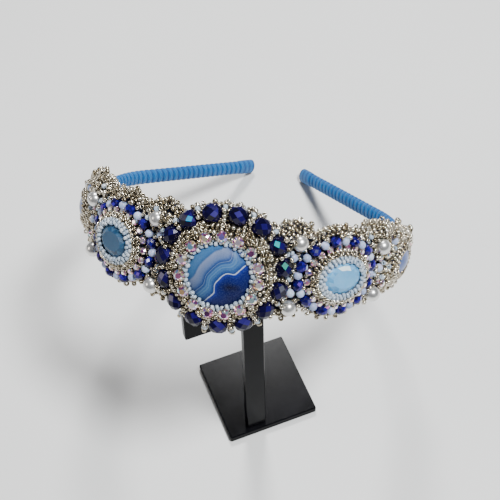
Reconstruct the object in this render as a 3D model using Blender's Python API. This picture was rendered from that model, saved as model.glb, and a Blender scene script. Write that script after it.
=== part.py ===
"""Beaded folk headband resting on its small display stand.

All sizes below are millimetres.  The headband is described in its own level
frame: x to the wearer's left seen from the front, y to the back, z up from the
hoop.  A place on the beaded band is (s, z, h): s along the front face from
the centre, z up the band, h out from the face.  The headband is then
leant over the stand, so both hair ends come down to the table.
"""
import bpy
import bmesh
from math import cos, sin, tan, pi, radians, sqrt
from mathutils import Matrix, Vector

MM = 0.001

# curve of the band's front face, from the centre outwards: (length, radius), 0 = straight
CURVE = ((33.5, 51.3), (33.6, 58.2), (33.7, 116.4), (33.8, 61.7), (80.0, 0.0))
FLARE = 0.054            # the band leans out this much per mm of height

# wrapped hoop
HOOP_HALF = 208.3        # half length, centre to hair end
HOOP_TALL, HOOP_THICK = 5.0, 3.1
HOOP_RISE = 4.2          # hoop centre above the band's own centre line
HOOP_SIDES, HOOP_STEPS = 12, 46

# leather and felt backing of the beadwork
BACK_HALF = 107.0
BACK_THICK = 2.4
BACK_STEP = 3.4
GAP = 0.3                # clearance left between neighbouring pieces
# lobes of its scalloped outline: (s, z, half length, half height)
LOBES = ((0.0, 0.2, 19.3, 19.3), (21.0, 8.2, 7.6, 8.7), (20.0, -6.4, 7.6, 6.6),
         (37.6, 1.5, 16.0, 14.2), (54.0, 4.0, 10.5, 12.9), (66.0, 3.2, 9.5, 10.8),
         (77.0, 1.6, 12.5, 8.9), (94.0, 3.2, 24.0, 4.4))

# centre rosette
ROSE_AT = (-0.25, -1.4)
CAB_R, CAB_SIDE, CAB_TOP = 11.0, 3.4, 8.9
CHATONS, CHATON_RING, CHATON_R, CHATON_TURN = 15, 12.5, 1.9, -2.7
NAVY, NAVY_RING, NAVY_R, NAVY_TURN = 15, 18.0, 3.0, 10.05

# side medallions, with the left one set a little lower
SIDE_S, SIDE_Z = 37.6, {-1: -0.3, 1: 0.5}
SIDE_STONE = (7.6, 5.7)              # half size seen inside its bezel
SIDE_RING = (14.4, 11.8)             # centre line of its bead ring
SIDE_BEADS, BIG_R, SMALL_R, THREAD_R = 12, 1.8, 1.4, 0.55

# end medallions
END_S, END_Z = 75.0, 1.5
END_STONE = (6.2, 4.4)

# pearls: (s, z)
PEARL_R = 2.6
PEARLS = (("pearl_upper_left", -22.2, 11.3), ("pearl_lower_left", -22.0, -10.6),
          ("pearl_upper_right", 21.9, 11.3), ("pearl_lower_right", 21.7, -10.2),
          ("pearl_far_upper_left", -55.0, 9.0), ("pearl_far_lower_left", -53.7, -7.9),
          ("pearl_far_upper_right", 55.0, 9.6), ("pearl_far_lower_right", 55.0, -6.8))

# display stand: square foot, flat T cut from sheet
FOOT, SHEET = 35.0, 3.0
POST_AT, POST_WIDE = -6.4, 7.4
POST_INSET = 1.5         # from the foot's front edge to the T's front face
ARM_LONG, ARM_LOW, ARM_HIGH = 47.8, 75.1, 88.9     # heights above the foot's top
STAND_TURN = 29.6        # degrees, against the headband's own facing

# how the headband leans, and where its front centre is from the foot's centre
TILT, ROLL = 41.05, -4.14
FRONT_AT = (-6.50, -18.40, 107.57)


def clear_scene():
    for old in list(bpy.data.objects):
        bpy.data.objects.remove(old, do_unlink=True)


# surfaces
def reference(s):
    """Point and heading on the band's curve at signed length s."""
    x = y = turn = 0.0
    left = abs(s)
    for length, radius in CURVE:
        run = min(left, length)
        if radius:
            after = turn + run / radius
            x += radius * (sin(after) - sin(turn))
            y += radius * (cos(turn) - cos(after))
            turn = after
        else:
            x += run * cos(turn)
            y += run * sin(turn)
        left -= run
        if left <= 0:
            break
    side = 1 if s >= 0 else -1
    return side * x, y, side * turn


def spot(s, z, h, flare=FLARE):
    x, y, turn = reference(s)
    out = h + flare * z
    return Vector((x + out * sin(turn), y - out * cos(turn), z))


def medal_spot(at, u, v, h, bend):
    """Place on a medallion: bend 1 follows the curved band, 0 is the stone's flat plane."""
    s0, z0 = at
    curved = spot(s0 + u, z0 + v, h)
    _, _, turn = reference(s0)
    flat = spot(s0, z0, h) + Vector((cos(turn) * u, sin(turn) * u, 0)) \
        + Vector((FLARE * sin(turn), -FLARE * cos(turn), 1)) * v
    return flat.lerp(curved, bend)


def headband_pose():
    lean = Matrix.Rotation(radians(ROLL), 3, "Y") @ Matrix.Rotation(radians(TILT), 3, "X")
    return Matrix.Translation(Vector(FRONT_AT)) @ lean.transposed().to_4x4()


# materials
def material(slot, colour, roughness, metallic=0.0, coat=0.0):
    mat = bpy.data.materials.new(slot)
    mat.use_nodes = True
    shader = mat.node_tree.nodes["Principled BSDF"]
    shader.inputs["Base Color"].default_value = (*colour, 1.0)
    shader.inputs["Roughness"].default_value = roughness
    shader.inputs["Metallic"].default_value = metallic
    shader.inputs["Coat Weight"].default_value = coat
    mat.diffuse_color = (*colour, 1.0)
    return mat


def make_materials():
    return {
        "acrylic_black": material("acrylic_black", (0.012, 0.012, 0.014), 0.12, coat=0.6),
        "cord_blue": material("cord_blue", (0.07, 0.30, 0.66), 0.6),
        "leather_navy": material("leather_navy", (0.01, 0.015, 0.07), 0.7),
        "agate_blue": material("agate_blue", (0.12, 0.30, 0.66), 0.12, coat=0.5),
        "opal_glass": material("opal_glass", (0.42, 0.63, 0.86), 0.08, coat=0.5),
        "lavender_glass": material("lavender_glass", (0.50, 0.58, 0.82), 0.15, coat=0.4),
        "seed_silver": material("seed_silver", (0.72, 0.68, 0.60), 0.3, metallic=0.9),
        "crystal_ab": material("crystal_ab", (0.82, 0.76, 0.86), 0.06, metallic=0.3),
        "navy_glass": material("navy_glass", (0.010, 0.020, 0.22), 0.07, coat=0.6),
        "bead_blue": material("bead_blue", (0.16, 0.26, 0.62), 0.15, coat=0.3),
        "pearl_grey": material("pearl_grey", (0.68, 0.66, 0.64), 0.22, coat=0.6),
    }


# mesh helpers
def add_object(name, slot, verts, faces, pose, smooth=None):
    mesh = bpy.data.meshes.new(name)
    mesh.from_pydata([(pose @ Vector(v)) * MM for v in verts], [], faces)
    mesh.validate()
    bm = bmesh.new()
    bm.from_mesh(mesh)
    bmesh.ops.recalc_face_normals(bm, faces=bm.faces)
    bm.to_mesh(mesh)
    bm.free()
    obj = bpy.data.objects.new(name, mesh)
    bpy.context.scene.collection.objects.link(obj)
    mesh.materials.append(MATERIALS[slot])
    if smooth is not None:
        mesh.shade_smooth()
        mesh.set_sharp_from_angle(angle=radians(smooth))
    return obj


def loft(loops, closed=False, half_steps=False):
    """Skin equal loops.  half_steps marks loops that alternate by half a side."""
    count = len(loops[0])
    verts = [v for loop in loops for v in loop]
    faces = []
    pairs = [(i, i + 1) for i in range(len(loops) - 1)]
    if closed:
        pairs.append((len(loops) - 1, 0))
    for row, (a, b) in enumerate(pairs):
        for k in range(count):
            n = (k + 1) % count
            low, high = (a * count + k, a * count + n), (b * count + k, b * count + n)
            if not half_steps:
                faces.append((low[0], low[1], high[1], high[0]))
            elif row % 2 == 0:
                faces += [(low[0], low[1], high[0]), (low[1], high[1], high[0])]
            else:
                faces += [(low[0], low[1], high[1]), (low[0], high[1], high[0])]
    if not closed:
        faces.append(tuple(range(count)))
        faces.append(tuple((len(loops) - 1) * count + k for k in range(count)))
    return verts, faces


def ring_section(at, section, half, steps, squash=(1, 1)):
    """Closed ring: section rows are (grow, h, bend) round an ellipse of half size half."""
    loops = []
    for i in range(steps):
        t = 2 * pi * i / steps
        loops.append([medal_spot(at, (half[0] + d) * cos(t) * squash[0],
                                 (half[1] + d) * sin(t) * squash[1], h, bend)
                      for d, h, bend in section])
    return loft(loops, closed=True)


def stack(at, rows, steps, turn_alternate=False):
    """Closed solid from ellipses: rows are (half u, half v, h)."""
    loops = []
    for j, (a, b, h) in enumerate(rows):
        shift = pi / steps if turn_alternate and j % 2 else 0.0
        loops.append([medal_spot(at, a * cos(2 * pi * i / steps + shift),
                                 b * sin(2 * pi * i / steps + shift), h, 0)
                      for i in range(steps)])
    return loft(loops, half_steps=turn_alternate)


def dome_rows(half, base, side, top, levels):
    rows = [(half[0], half[1], base)]
    for i in range(levels):
        t = (pi / 2) * i / levels
        rows.append((half[0] * cos(t), half[1] * cos(t), side + (top - side) * sin(t)))
    return rows


# pieces
def backing_edge(s):
    top, bottom = 3.0, 1.5
    for centre, z, a, b in LOBES:
        for c in {centre, -centre}:
            q = 1 - ((s - c) / a) ** 2
            if q > 0:
                top = max(top, z + b * sqrt(q))
                bottom = min(bottom, z - b * sqrt(q))
    return bottom, top


def build_hoop(pose):
    offset = -BACK_THICK - GAP - HOOP_THICK / 2
    cap = ((0.0, 1.0), (0.9, 0.86), (1.5, 0.5))     # (further out, size) of the rounded ends
    body = [(-HOOP_HALF + 1.5 + (2 * HOOP_HALF - 3.0) * i / HOOP_STEPS, 1.0)
            for i in range(HOOP_STEPS + 1)]
    stations = [(body[0][0] - d, k) for d, k in reversed(cap[1:])] + body \
        + [(body[-1][0] + d, k) for d, k in cap[1:]]
    loops = []
    for s, size in stations:
        loops.append([spot(s, HOOP_RISE + size * HOOP_TALL / 2 * sin(2 * pi * k / HOOP_SIDES),
                           offset + size * HOOP_THICK / 2 * cos(2 * pi * k / HOOP_SIDES), 0.0)
                      for k in range(HOOP_SIDES)])
    add_object("hoop", "cord_blue", *loft(loops), pose, smooth=50)


def build_backing(pose):
    count = int(round(2 * BACK_HALF / BACK_STEP))
    loops = []
    for i in range(count + 1):
        s = -BACK_HALF + 2 * BACK_HALF * i / count
        bottom, top = backing_edge(s)
        loops.append([spot(s, bottom, -BACK_THICK), spot(s, bottom, 0),
                      spot(s, top, 0), spot(s, top, -BACK_THICK)])
    add_object("backing", "leather_navy", *loft(loops), pose)


def build_rosette(pose):
    add_object("centre_cabochon", "agate_blue",
               *stack(ROSE_AT, dome_rows((CAB_R, CAB_R), 0.3, CAB_SIDE, CAB_TOP, 6), 24), pose, smooth=40)
    section = ((1.40, 0.3, 1), (1.40, 3.5, 0), (0.70, 5.4, 0), (0.05, 6.2, 0), (0.40, 6.5, 0),
               (0.65, 6.0, 0), (1.25, 4.75, 0), (2.60, 4.6, 0), (2.95, 3.3, 0.3), (3.05, 0.3, 1))
    add_object("centre_bezel", "seed_silver", *ring_section(ROSE_AT, section, (9.95, 9.95), 40), pose)
    build_chatons(pose)
    for k in range(NAVY):
        t = radians(NAVY_TURN + 360 / NAVY * k)
        build_navy_bead("navy_bead_%02d" % (k + 1), NAVY_RING * cos(t), NAVY_RING * sin(t), t, pose)


def build_chatons(pose):
    """One setting ring with its fifteen octagonal stones fused to it."""
    ring = ((-0.85, 5.1, 0), (0.75, 5.1, 0), (0.75, 5.9, 0), (-0.85, 5.9, 0))
    setting = add_object("centre_chatons", "crystal_ab",
                         *ring_section(ROSE_AT, ring, (CHATON_RING, CHATON_RING), 45), pose)
    verts, faces = [], []
    rows = ((0.63, 5.3), (1.0, 6.9), (0.58, 7.8))
    for k in range(CHATONS):
        t = radians(CHATON_TURN + 360 / CHATONS * k)
        cu, cv = CHATON_RING * cos(t), CHATON_RING * sin(t)
        loops = [[medal_spot(ROSE_AT, cu + CHATON_R * f * cos(t + pi / 8 + pi * i / 4),
                             cv + CHATON_R * f * sin(t + pi / 8 + pi * i / 4), h, 0)
                  for i in range(8)] for f, h in rows]
        part_verts, part_faces = loft(loops)
        faces += [tuple(i + len(verts) for i in face) for face in part_faces]
        verts += part_verts
    stones = add_object("chaton_stones", "crystal_ab", verts, faces, pose)
    join = setting.modifiers.new("stones", "BOOLEAN")
    join.operation, join.solver, join.object = "UNION", "EXACT", stones
    stones.hide_render = True
    stones.display_type = "WIRE"


def build_navy_bead(name, s, z, turn, pose):
    """Fire polished bead: cut rows of facets round the thread hole's axis."""
    centre = spot(s, z, GAP + NAVY_R)
    _, _, head = reference(s)
    along = Vector((cos(head), sin(head), 0))
    up = Vector((0, 0, 1))
    out = along.cross(up)
    axis = -sin(turn) * along + cos(turn) * up
    across = cos(turn) * along + sin(turn) * up
    rows = ((-0.88, 0.42), (-0.5, 0.84), (0.0, 1.0), (0.5, 0.84), (0.88, 0.42))
    loops = []
    for j, (t, r) in enumerate(rows):
        shift = 0.5 if j % 2 else 0.0
        loops.append([centre + NAVY_R * (t * axis + r * (cos(2 * pi * (k + shift) / 8) * across
                                                         + sin(2 * pi * (k + shift) / 8) * out))
                      for k in range(8)])
    add_object(name, "navy_glass", *loft(loops, half_steps=True), pose)


def build_pearls(pose):
    for name, s, z in PEARLS:
        centre = spot(s, z, GAP + PEARL_R)
        loops = []
        for j in range(1, 7):
            t = pi * j / 7
            loops.append([centre + PEARL_R * Vector((sin(t) * cos(2 * pi * k / 12),
                                                     sin(t) * sin(2 * pi * k / 12), cos(t)))
                          for k in range(12)])
        add_object(name, "pearl_grey", *loft(loops), pose, smooth=60)


def bead_profile():
    """(share of the way round, tube radius) for a ring of big and small beads in turn."""
    pair = 2 * BIG_R + 2 * SMALL_R
    rows = []
    for k in range(SIDE_BEADS):
        start = 0.0
        for radius in (SMALL_R, BIG_R):
            middle = k * pair + start + radius - SMALL_R
            for t, r in ((-0.90, 0.44), (-0.38, 0.93), (0.38, 0.93), (0.90, 0.44)):
                rows.append(((middle + t * radius) / (pair * SIDE_BEADS), max(r * radius, THREAD_R)))
            start += 2 * radius
    return rows


def build_side_medallion(side, pose):
    at = (side * SIDE_S, SIDE_Z[side])
    tag = "left" if side < 0 else "right"
    a, b = SIDE_STONE
    stone = ((a + 0.0, b + 0.0, 0.3), (a + 0.8, b + 0.8, 2.9), (a - 0.7, b - 0.7, 4.6), (4.7, 3.2, 5.9))
    add_object("side_stone_" + tag, "opal_glass", *stack(at, stone, 16, turn_alternate=True), pose)
    section = ((1.15, 0.3, 1), (1.15, 3.1, 0), (0.60, 3.8, 0), (0.05, 4.55, 0), (0.45, 5.0, 0),
               (1.4, 4.4, 0), (2.4, 3.2, 0.3), (3.3, 2.1, 0.6), (3.8, 0.3, 1))
    add_object("side_bezel_" + tag, "seed_silver", *ring_section(at, section, SIDE_STONE, 28), pose)
    loops = []
    start = 0 if side < 0 else pi
    for share, radius in bead_profile():
        t = start + 2 * pi * share
        cu, cv = SIDE_RING[0] * cos(t), SIDE_RING[1] * sin(t)
        nu, nv = cos(t) / SIDE_RING[0], sin(t) / SIDE_RING[1]
        n = sqrt(nu * nu + nv * nv)
        nu, nv = nu / n, nv / n
        loops.append([medal_spot(at, cu + radius * cos(2 * pi * k / 10) * nu,
                                 cv + radius * cos(2 * pi * k / 10) * nv,
                                 GAP + BIG_R + radius * sin(2 * pi * k / 10), 1)
                      for k in range(10)])
    add_object("side_bead_ring_" + tag, "bead_blue", *loft(loops, closed=True), pose, smooth=60)


def build_end_medallion(side, pose):
    at = (side * END_S, END_Z)
    tag = "left" if side < 0 else "right"
    a, b = END_STONE
    add_object("end_stone_" + tag, "lavender_glass",
               *stack(at, dome_rows((a + 0.6, b + 0.6), 0.3, 1.6, 4.8, 4), 20), pose, smooth=40)
    section = ((0.95, 0.3, 1), (0.95, 1.8, 0), (0.60, 2.75, 0), (0.15, 3.4, 0), (0.5, 3.8, 0),
               (1.6, 3.1, 0), (2.9, 2.0, 0.5), (3.7, 0.3, 1))
    add_object("end_bezel_" + tag, "seed_silver", *ring_section(at, section, END_STONE, 24), pose)


def bevel_all(obj, width):
    bm = bmesh.new()
    bm.from_mesh(obj.data)
    bmesh.ops.bevel(bm, geom=list(bm.edges), offset=width * MM, segments=1, affect="EDGES")
    bm.to_mesh(obj.data)
    bm.free()


def build_stand():
    turn = Matrix.Rotation(radians(STAND_TURN), 4, "Z")
    f = FOOT / 2
    foot = [[(-f, -f, z), (f, -f, z), (f, f, z), (-f, f, z)] for z in (0, SHEET)]
    bevel_all(add_object("stand_foot", "acrylic_black", *loft(foot), turn), 0.35)
    left, right = POST_AT - POST_WIDE / 2, POST_AT + POST_WIDE / 2
    end, low, high = ARM_LONG / 2, SHEET + ARM_LOW, SHEET + ARM_HIGH
    outline = ((left, SHEET + GAP), (right, SHEET + GAP), (right, low), (POST_AT + end, low),
               (POST_AT + end, high), (POST_AT - end, high), (POST_AT - end, low), (left, low))
    front = -f + POST_INSET
    tee = [[(x, y, z) for x, z in outline] for y in (front, front + SHEET)]
    bevel_all(add_object("stand_tee", "acrylic_black", *loft(tee), turn), 0.3)


clear_scene()
MATERIALS = make_materials()
POSE = headband_pose()
build_stand()
build_hoop(POSE)
build_backing(POSE)
build_rosette(POSE)
build_pearls(POSE)
for SIDE in (-1, 1):
    build_side_medallion(SIDE, POSE)
    build_end_medallion(SIDE, POSE)
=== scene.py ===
# %% [markdown]
# # A beaded folk headband on its display stand
#
# The headband is a hoop wrapped with sky-blue cord. Over its front lies a ground
# of felt and navy leather, and on that ground sit an agate rosette, two cut oval
# stones, two smooth lavender stones, pearls and thousands of seed beads.
#
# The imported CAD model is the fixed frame: it says where each stone, pearl and
# ring sits. This lesson dresses it. Everything is made from a few small bead
# shapes, copied along rows and rings, so the real needlework order is followed.

# %%
# Tools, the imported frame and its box
import random
from math import atan2, cos, hypot, pi, radians, sin, sqrt

import bmesh
import bpy
from mathutils import Matrix, Vector


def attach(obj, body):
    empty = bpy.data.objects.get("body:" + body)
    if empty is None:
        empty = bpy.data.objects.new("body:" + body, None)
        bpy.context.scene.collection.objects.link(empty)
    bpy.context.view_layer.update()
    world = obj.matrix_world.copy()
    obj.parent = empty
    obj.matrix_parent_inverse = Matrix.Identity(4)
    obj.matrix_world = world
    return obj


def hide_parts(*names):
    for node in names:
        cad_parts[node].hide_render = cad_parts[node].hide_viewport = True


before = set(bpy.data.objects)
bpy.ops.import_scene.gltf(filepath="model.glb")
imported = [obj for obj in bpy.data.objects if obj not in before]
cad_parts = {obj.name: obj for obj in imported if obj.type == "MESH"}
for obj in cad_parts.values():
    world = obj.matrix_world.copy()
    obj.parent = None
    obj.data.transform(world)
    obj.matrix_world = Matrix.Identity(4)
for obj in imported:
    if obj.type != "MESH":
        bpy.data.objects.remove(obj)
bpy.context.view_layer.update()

# %% [markdown]
# ## The band's own coordinates
#
# A beader thinks along the band, not in x, y, z. So a place is (s, z, h): s along
# the front face from the centre, z up the band, h out from the leather. All of it
# is in millimetres. One pose matrix leans the band over the stand at the end.

# %%
# The band's curve, and places on it
MM = 0.001
# (length, radius) of each stretch from the centre outwards; radius 0 is straight
CURVE = ((33.5, 51.3), (33.6, 58.2), (33.7, 116.4), (33.8, 61.7), (80.0, 0.0))
FLARE = 0.054            # the band leans out this much per mm of height
TILT, ROLL = 41.05, -4.14
FRONT_AT = Vector((-6.50, -18.40, 107.57))
LEAN = (Matrix.Rotation(radians(ROLL), 3, "Y")
        @ Matrix.Rotation(radians(TILT), 3, "X")).transposed()
BACK_HALF = 107.0        # half length of the beaded ground
GAP = 0.3                # what sits on the ground starts this far above it
OUT = Vector((0, 0, 1))  # straight out, in the (along, up, out) directions of `ways`


def reference(s):
    """Point and heading of the band's curve at signed length s."""
    x = y = turn = 0.0
    left = abs(s)
    for length, radius in CURVE:
        run = min(left, length)
        if radius:
            after = turn + run / radius
            x += radius * (sin(after) - sin(turn))
            y += radius * (cos(turn) - cos(after))
            turn = after
        else:
            x += run * cos(turn)
            y += run * sin(turn)
        left -= run
        if left <= 0:
            break
    side = 1 if s >= 0 else -1
    return side * x, y, side * turn


def spot(s, z, h, flare=FLARE):
    """The place (s, z, h) of the band as a point in the headband's millimetres."""
    x, y, turn = reference(s)
    out = h + flare * z
    return Vector((x + out * sin(turn), y - out * cos(turn), z))


def ways(s, flare=FLARE):
    """The band's directions at s as columns: along it, up it, out of it."""
    turn = reference(s)[2]
    along = Vector((cos(turn), sin(turn), 0))
    up = Vector((flare * sin(turn), -flare * cos(turn), 1)).normalized()
    return Matrix((along, up, along.cross(up))).transposed()


print("the band's end:", [round(v, 1) for v in reference(BACK_HALF)])

# %% [markdown]
# A medallion is stiff, so its stone lies flat while its outer beads follow the
# curve of the head. `bend` says which: 0 is the stone's flat plane, 1 the band.

# %%
# Places on a medallion
class Medal:
    """A round or oval piece on the band, with its own flat plane (u, v)."""

    def __init__(self, s, z):
        self.s, self.z = s, z

    def place(self, u, v, h, bend=0.0):
        curved = spot(self.s + u, self.z + v, h)
        turn = reference(self.s)[2]
        flat = spot(self.s, self.z, h) + Vector((cos(turn) * u, sin(turn) * u, 0)) \
            + Vector((FLARE * sin(turn), -FLARE * cos(turn), 1)) * v
        return flat.lerp(curved, bend)

    def ways(self, u=0.0, bend=0.0):
        return ways(self.s + u * bend)


class Strip:
    """The plain band between the medallions, with the same calls as a Medal."""

    def place(self, s, z, h, bend=1.0):
        return spot(s, z, h)

    def ways(self, s=0.0, bend=1.0):
        return ways(s)


BAND = Strip()

# %% [markdown]
# ## Copying beads into one mesh
#
# A real headband of this kind has two to three thousand beads. As many Blender
# objects would be slow, so each kind of bead is modelled once, and a `Heap` puts
# turned and sized copies of it into one joined mesh. Every bead also gets a
# `tone`, a number from 0 to 1 kept on its faces, so that its finish can make one
# bead a little darker or more coloured than the next, as real glass beads are.

# %%
# Bead shapes: turned (lathed) profiles
def circle(count, r, z, shift=0.0):
    """Points evenly round z; shift turns them by that part of a step."""
    angles = [2 * pi * (k + shift) / count for k in range(count)]
    return [(r * cos(t), r * sin(t), z) for t in angles]


def skin(rows, sides, closed=False):
    """Faces between rows of points. closed joins last row to first, else the ends are capped."""
    faces = []
    for a in range(rows if closed else rows - 1):
        low, high = a * sides, (a + 1) % rows * sides
        for k in range(sides):
            n = (k + 1) % sides
            faces.append((low + k, low + n, high + n, high + k))
    if not closed:
        faces.append(tuple(range(sides))[::-1])
        faces.append(tuple((rows - 1) * sides + k for k in range(sides)))
    return faces


def lathe(profile, sides, closed=False):
    """Shape turned about z from (radius, z) rows."""
    verts = [point for r, z in profile for point in circle(sides, r, z)]
    return verts, skin(len(profile), sides, closed=closed)


SEED = lathe(((0.42, -0.42), (0.62, -0.70), (0.90, -0.50), (1.0, 0.0),
              (0.90, 0.50), (0.62, 0.70), (0.42, 0.42)), 10, closed=True)


def cut_bead(sides=8):
    """Fire-polished bead: three rings of lozenge facets, end facets and a thread hole."""
    half = ((0.20, 0.76, 0), (0.24, 0.93, 0), (0.48, 0.92, 0), (0.74, 0.80, 0), (0.924, 0.46, 0.5))
    rows = [(r, -z, shift) for r, z, shift in half] + [(1.0, 0.0, 0)] + list(reversed(half))
    verts = [point for r, z, shift in rows for point in circle(sides, r, z, shift)]
    last = len(rows) - 1
    at = lambda row, k: row * sides + k % sides
    faces = [tuple(range(sides))[::-1], tuple(at(last, k) for k in range(sides))]
    for k in range(sides):
        faces += [(at(j, k), at(j, k + 1), at(j + 1, k + 1), at(j + 1, k))
                  for j in (0, 1, 2, 7, 8, 9)]
        faces += [(at(3, k), at(3, k + 1), at(4, k)), (at(7, k + 1), at(7, k), at(6, k))]
        faces += [(at(3, k), at(4, k), at(5, k), at(4, k - 1)),
                  (at(4, k), at(5, k + 1), at(6, k), at(5, k)),
                  (at(5, k), at(6, k), at(7, k), at(6, k - 1))]
    return verts, faces


CUT_BEAD = cut_bead()
ROUND_BEAD = lathe([(0.17, -0.80), (0.19, -0.955)]
                   + [(cos(radians(a)), sin(radians(a))) for a in range(-70, 71, 10)]
                   + [(0.19, 0.955), (0.17, 0.80)], 24)
print("faces in one seed, cut bead, pearl:", len(SEED[1]), len(CUT_BEAD[1]), len(ROUND_BEAD[1]))

# %%
# Directions, and the heap of copies
def turned(axis, face=(0, 0, 1)):
    """Columns for a bead: z along its hole, x towards face."""
    z = Vector(axis).normalized()
    y = z.cross(Vector(face))
    if y.length < 1e-4:
        y = z.orthogonal()
    y.normalize()
    return Matrix((y.cross(z), y, z)).transposed()


class Heap:
    """Copies of bead shapes, kept as one mesh in the headband's millimetres."""

    def __init__(self):
        self.verts, self.faces, self.tones, self.beads = [], [], [], 0

    def add_mesh(self, verts, faces, tone=0.5):
        """Adds points in the headband's millimetres; tone is one value or one a face."""
        start = len(self.verts)
        self.verts += [Vector(v) for v in verts]
        self.faces += [tuple(i + start for i in face) for face in faces]
        self.tones += tone if isinstance(tone, list) else [tone] * len(faces)
        self.beads += 1

    def add(self, shape, at, axes, size, tone=0.5):
        """Adds a copy of a shape; axes are the bead's columns, size one radius or three."""
        sx, sy, sz = (size, size, size) if isinstance(size, (int, float)) else size
        verts, faces = shape
        self.add_mesh([at + axes @ Vector((x * sx, y * sy, z * sz)) for x, y, z in verts],
                      faces, tone)


def finish_piece(name, heap, material, replaces=(), smooth=True, sharp=None, uv=None):
    """Makes the heap an object in the row frame that rides on the frame's one body."""
    mesh = bpy.data.meshes.new(name)
    mesh.from_pydata([(LEAN @ v + FRONT_AT) * MM for v in heap.verts], [], heap.faces)
    mesh.materials.append(material)
    tone = mesh.attributes.new("tone", "FLOAT", "FACE")
    tone.data.foreach_set("value", heap.tones)
    if uv:
        layer = mesh.uv_layers.new(name="place")
        layer.data.foreach_set("uv", [c for loop in mesh.loops for c in uv[loop.vertex_index]])
    work = bmesh.new()
    work.from_mesh(mesh)
    bmesh.ops.recalc_face_normals(work, faces=work.faces)
    work.to_mesh(mesh)
    work.free()
    if smooth:
        mesh.shade_smooth()
        if sharp:
            mesh.set_sharp_from_angle(angle=radians(sharp))
    piece = bpy.data.objects.new(name, mesh)
    bpy.context.scene.collection.objects.link(piece)
    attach(piece, "root")
    if replaces:
        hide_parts(*replaces)
    print(name, "beads", heap.beads, "faces", len(heap.faces))
    return piece


# %% [markdown]
# ## Finishes
#
# Each finish is a node material. Writing node sums by hand is hard to read, so a
# `Wire` stands for one output socket, and +, -, *, / on wires add Math nodes. The
# `node` method makes any other node from its type, settings and sockets.

# %%
# Shader maths as Python expressions
def plug(tree, socket, value):
    if isinstance(value, Wire):
        tree.links.new(value.socket, socket)
    else:
        socket.default_value = value


class Wire:
    """An output socket that can be used in sums."""

    def __init__(self, socket):
        self.socket = socket

    def sum(self, operation, *values):
        tree = self.socket.id_data
        made = tree.nodes.new("ShaderNodeMath")
        made.operation = operation
        for socket, value in zip(made.inputs, values):
            plug(tree, socket, value)
        return Wire(made.outputs[0])

    def __add__(self, other):
        return self.sum("ADD", self, other)

    def __sub__(self, other):
        return self.sum("SUBTRACT", self, other)

    def __rsub__(self, other):
        return self.sum("SUBTRACT", other, self)

    def __mul__(self, other):
        return self.sum("MULTIPLY", self, other)

    def __truediv__(self, other):
        return self.sum("DIVIDE", self, other)

    __radd__, __rmul__ = __add__, __mul__

    def bounded(self):
        """The value, kept between 0 and 1."""
        return self.sum("MINIMUM", self.sum("MAXIMUM", self, 0.0), 1.0)


class Finish:
    """A material, built node by node."""

    def __init__(self, name, **constants):
        self.material = bpy.data.materials.new(name)
        self.material.use_nodes = True
        self.tree = self.material.node_tree
        self.shader = self.tree.nodes["Principled BSDF"]
        self.feed(**constants)

    def feed(self, **sockets):
        """Sets sockets of the shader: Base_Color=..., Coat_Weight=..."""
        for name, value in sockets.items():
            plug(self.tree, self.shader.inputs[name.replace("_", " ")], value)

    def node(self, kind, settings=None, sockets=None, output=0):
        """Any other node: its type, its settings (a ramp's stops too), then its sockets."""
        made = self.tree.nodes.new(kind)
        for name, value in (settings or {}).items():
            if name == "stops":
                ramp = made.color_ramp
                ramp.elements[0].position, ramp.elements[1].position = value[0][0], value[-1][0]
                for place, colour in value[1:-1]:
                    ramp.elements.new(place)
                for stop, (place, colour) in zip(ramp.elements, value):
                    stop.color = (*colour, 1.0)
            else:
                setattr(made, name, value)
        for key, value in (sockets or {}).items():
            plug(self.tree, made.inputs[key], value)
        return Wire(made.outputs[output])

    def tone(self):
        return self.node("ShaderNodeAttribute", {"attribute_name": "tone"}, output=2)

    def ramp(self, value, stops):
        return self.node("ShaderNodeValToRGB", {"stops": stops}, {0: value})

    def mix(self, share, a, b):
        return self.node("ShaderNodeMix", {"data_type": "RGBA"}, {0: share, 6: a, 7: b}, output=2)

    def noise(self, where, scale, detail=3.0, rough=0.5):
        return self.node("ShaderNodeTexNoise", None, {
            "Vector": where, "Scale": scale, "Detail": detail, "Roughness": rough})

    def object_place(self):
        return self.node("ShaderNodeTexCoord", None, None, 3)

    def bump(self, height, strength, distance):
        self.feed(Normal=self.node("ShaderNodeBump", None, {
            "Strength": strength, "Distance": distance, "Height": height}))


# %% [markdown]
# ### Glass, metal and stone finishes
#
# Silver-lined seed beads are warm grey metal with darker ones among them. Milky
# opal seeds are pale glass. A rainbow coat shows a different colour on each cut
# facet, so facets carry random tones that a colour ramp turns to pink, violet,
# cyan and gold. The highest tones also glow white-gold as painted glints.

# %%
# Seed bead finishes
def cloudy(name, grain, shares, stops, rough, **constants):
    """A finish whose colour drifts in a fine cloud.

    grain is the cloud's scale and detail, shares say how much a bead's own tone and the
    cloud count in the colour, rough is the least roughness and what the cloud adds.
    """
    f = Finish(name, **constants)
    cloud = f.noise(f.object_place(), *grain)
    shade = (f.tone() * shares[0] + cloud * shares[1]).bounded()
    f.feed(Base_Color=f.ramp(shade, stops), Roughness=rough[0] + cloud * rough[1])
    return f


SILVER = cloudy("silver_seed", (900.0, 3.0), (0.75, 0.25), (
    (0.0, (0.16, 0.12, 0.075)), (0.3, (0.44, 0.385, 0.28)), (0.7, (0.70, 0.64, 0.52)),
    (1.0, (0.96, 0.92, 0.82))), (0.10, 0.10), Metallic=0.95, Specular_IOR_Level=0.5).material
OPAL = cloudy("opal_seed", (500.0, 2.0), (0.7, 0.3), (
    (0.0, (0.42, 0.54, 0.70)), (0.5, (0.62, 0.74, 0.87)), (1.0, (0.90, 0.95, 1.0))), (0.10, 0.14),
    IOR=1.5, Transmission_Weight=0.35, Coat_Weight=0.3, Coat_Roughness=0.08).material


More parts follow.
